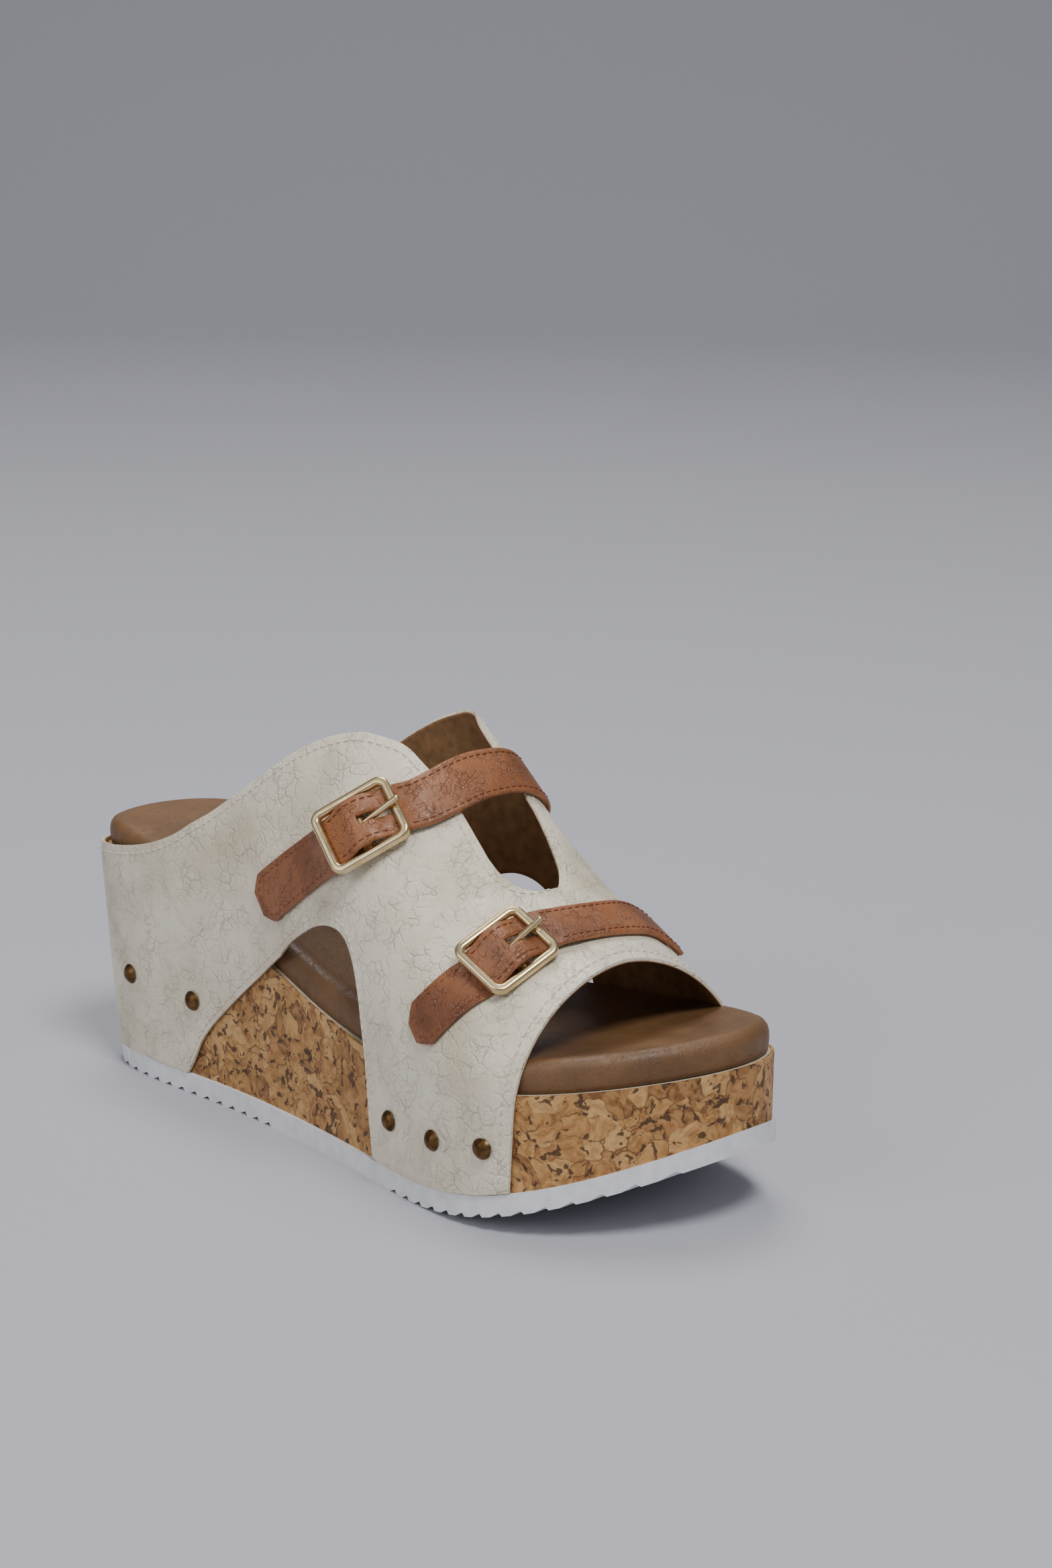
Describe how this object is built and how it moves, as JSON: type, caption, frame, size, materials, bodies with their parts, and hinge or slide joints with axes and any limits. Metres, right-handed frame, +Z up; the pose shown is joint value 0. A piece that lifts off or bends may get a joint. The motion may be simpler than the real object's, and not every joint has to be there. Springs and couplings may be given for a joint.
{
  "type": "wedge sandal",
  "caption": "Right-foot slip-on wedge sandal with a cork-wrapped wedge, padded footbed, open-toe upper with side windows and a throat slot, and two buckled straps.",
  "frame": {"origin": "on the ground under the middle of the sole's length and width", "axes": "+Z up, toe towards -Y, outer little-toe side towards -X"},
  "size_m": [0.1065, 0.2705, 0.1372],
  "materials": {
    "outsole_rubber": "white matt moulded rubber",
    "core_foam": "matt foam",
    "cork": "cork sheet with dark flecks",
    "board": "fibre board",
    "footbed_foam": "soft foam",
    "footbed_fabric": "brown leather-look cover",
    "upper_leather": "cream crinkled leather",
    "lining_fabric": "tan lining",
    "strap_leather": "caramel grained leather",
    "strap_backing": "suede backing",
    "antique_metal": "dark antique",
    "buckle_metal": "pale polished gold"
  },
  "bodies": {
    "sandal": {"outsole": "outsole_rubber", "wedge_core": "core_foam", "cork_wrap": "cork", "insole_board": "board", "footbed_foam": "footbed_foam", "footbed_cover": "footbed_fabric", "upper": "upper_leather", "lining": "lining_fabric", "heel_studs_inner": "antique_metal", "heel_studs_outer": "antique_metal", "vamp_studs_inner": "antique_metal", "vamp_studs_outer": "antique_metal", "instep_strap": "strap_leather", "toe_strap": "strap_leather", "instep_strap_backing": "strap_backing", "toe_strap_backing": "strap_backing", "instep_tab": "strap_leather", "toe_tab": "strap_leather", "instep_buckle_frame": "buckle_metal", "toe_buckle_frame": "buckle_metal", "instep_buckle_bar": "buckle_metal", "toe_buckle_bar": "buckle_metal"},
    "instep_prong": {"instep_buckle_prong": "buckle_metal"},
    "toe_prong": {"toe_buckle_prong": "buckle_metal"}
  },
  "joints": [
    {"name": "instep_prong_hinge", "type": "hinge", "parent": "sandal", "child": "instep_prong", "pos_m": [-0.0329, -0.0058, 0.1103], "axis": [-0.2017, -0.7509, -0.6288], "range_deg": [0, 35]},
    {"name": "toe_prong_hinge", "type": "hinge", "parent": "sandal", "child": "toe_prong", "pos_m": [-0.031, -0.0685, 0.0828], "axis": [0.0572, -0.8813, -0.469], "range_deg": [0, 35]}
  ]
}
